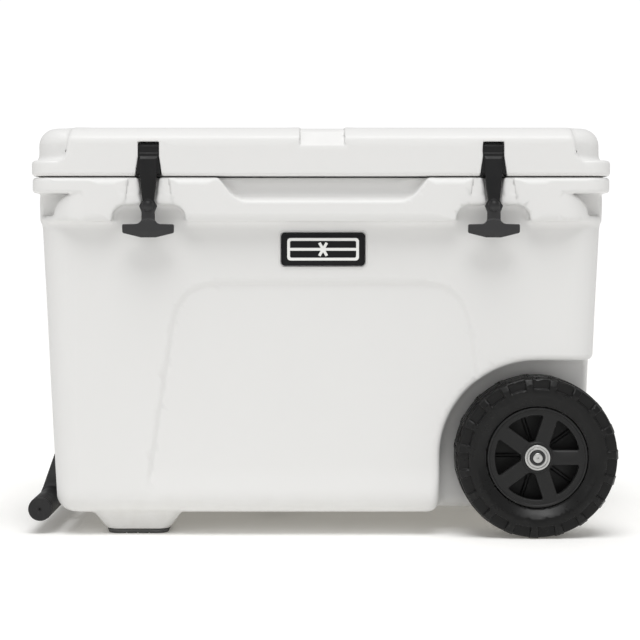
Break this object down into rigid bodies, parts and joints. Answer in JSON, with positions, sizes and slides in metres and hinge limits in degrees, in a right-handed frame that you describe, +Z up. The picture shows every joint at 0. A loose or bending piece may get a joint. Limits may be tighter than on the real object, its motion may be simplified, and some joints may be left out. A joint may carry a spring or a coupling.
{
  "type": "wheeled cooler",
  "caption": "Hard insulated cooler with a hinged lid, rubber pull latches, wheels on a through axle at one end, and a swing-out pull handle at the other.",
  "frame": {"origin": "on the ground under the middle of the object's box", "axes": "+X towards the wheel end, +Z up, front face with the latches towards -Y"},
  "size_m": [0.7174, 0.473, 0.495],
  "materials": {
    "white_shell": "satin",
    "foam": "matte",
    "gasket_rubber": "satin",
    "latch_rubber": "satin",
    "foot_rubber": "matte",
    "grip_rubber": "satin",
    "tyre_rubber": "matte",
    "wheel_plastic": "satin",
    "black_plastic": "satin",
    "badge_black": "gloss",
    "badge_light": "satin",
    "black_metal": "satin",
    "bright_steel": "satin",
    "nylon": "satin"
  },
  "bodies": {
    "chest": {"body_shell": "white_shell", "body_foam_core": "foam", "body_fill_plug": "black_plastic", "badge_plate": "badge_black", "badge_emblem": "badge_light", "foot_pad_front": "foot_rubber", "foot_pad_rear": "foot_rubber", "hinge_pin_left": "bright_steel", "hinge_pin_right": "bright_steel", "axle": "bright_steel", "axle_sleeve": "bright_steel", "axle_spacer_front": "nylon", "axle_spacer_rear": "nylon", "axle_clip_front": "black_metal", "axle_clip_rear": "black_metal", "handle_pivot_rod": "bright_steel", "handle_bracket_front": "black_metal", "handle_bracket_rear": "black_metal", "bracket_screw_1": "bright_steel", "bracket_screw_2": "bright_steel", "bracket_screw_3": "bright_steel", "bracket_screw_4": "bright_steel", "drain_sleeve": "black_plastic"},
    "lid": {"lid_shell": "white_shell", "lid_foam_core": "foam", "lid_fill_plug": "black_plastic", "lid_gasket": "gasket_rubber", "latch_pin_left": "bright_steel", "latch_pin_right": "bright_steel"},
    "latch_left": {"latch_left": "latch_rubber"},
    "latch_right": {"latch_right": "latch_rubber"},
    "wheel_front": {"tyre_front": "tyre_rubber", "hub_front": "wheel_plastic", "bearing_outer_front": "bright_steel", "bearing_inner_front": "bright_steel"},
    "wheel_rear": {"tyre_rear": "tyre_rubber", "hub_rear": "wheel_plastic", "bearing_outer_rear": "bright_steel", "bearing_inner_rear": "bright_steel"},
    "handle": {"handle_arm_front": "black_metal", "handle_arm_rear": "black_metal", "handle_bush_front": "nylon", "handle_bush_rear": "nylon", "handle_barrel": "black_metal", "handle_brace": "black_metal", "grip_tube": "black_metal", "grip_sleeve_front": "grip_rubber", "grip_sleeve_middle": "grip_rubber", "grip_sleeve_rear": "grip_rubber", "grip_cap_front": "black_plastic", "grip_cap_rear": "black_plastic"},
    "drain_gasket": {"drain_gasket": "gasket_rubber"},
    "drain_plug": {"drain_plug": "black_plastic"}
  },
  "joints": [
    {"name": "lid_hinge", "type": "hinge", "parent": "chest", "child": "lid", "pos_m": [0, 0.226, 0.4355], "axis": [-1, 0, 0], "range_deg": [0, 100]},
    {"name": "latch_left_swing", "type": "hinge", "parent": "lid", "child": "latch_left", "pos_m": [-0.205, -0.213, 0.469], "axis": [-1, 0, 0], "range_deg": [0, 85]},
    {"name": "latch_right_swing", "type": "hinge", "parent": "lid", "child": "latch_right", "pos_m": [0.205, -0.213, 0.469], "axis": [-1, 0, 0], "range_deg": [0, 85]},
    {"name": "wheel_front_spin", "type": "hinge", "parent": "chest", "child": "wheel_front", "pos_m": [0.26075, -0.178, 0.098], "axis": [0, 1, 0], "continuous": true},
    {"name": "wheel_rear_spin", "type": "hinge", "parent": "chest", "child": "wheel_rear", "pos_m": [0.26075, 0.178, 0.098], "axis": [0, 1, 0], "continuous": true},
    {"name": "handle_swing", "type": "hinge", "parent": "chest", "child": "handle", "pos_m": [-0.338, 0, 0.366], "axis": [0, 1, 0], "range_deg": [0, 130]},
    {"name": "drain_slide", "type": "slide", "parent": "chest", "child": "drain_gasket", "axis": [-1, 0, 0], "range_m": [0, 0.012]},
    {"name": "drain_turn", "type": "hinge", "parent": "drain_gasket", "child": "drain_plug", "pos_m": [-0.325, 0, 0.098], "axis": [-1, 0, 0], "range_deg": [0, 1080]}
  ],
  "couplings": [
    {"joint": "drain_turn", "follows": "drain_slide", "rad_per_m": 1570.8}
  ]
}
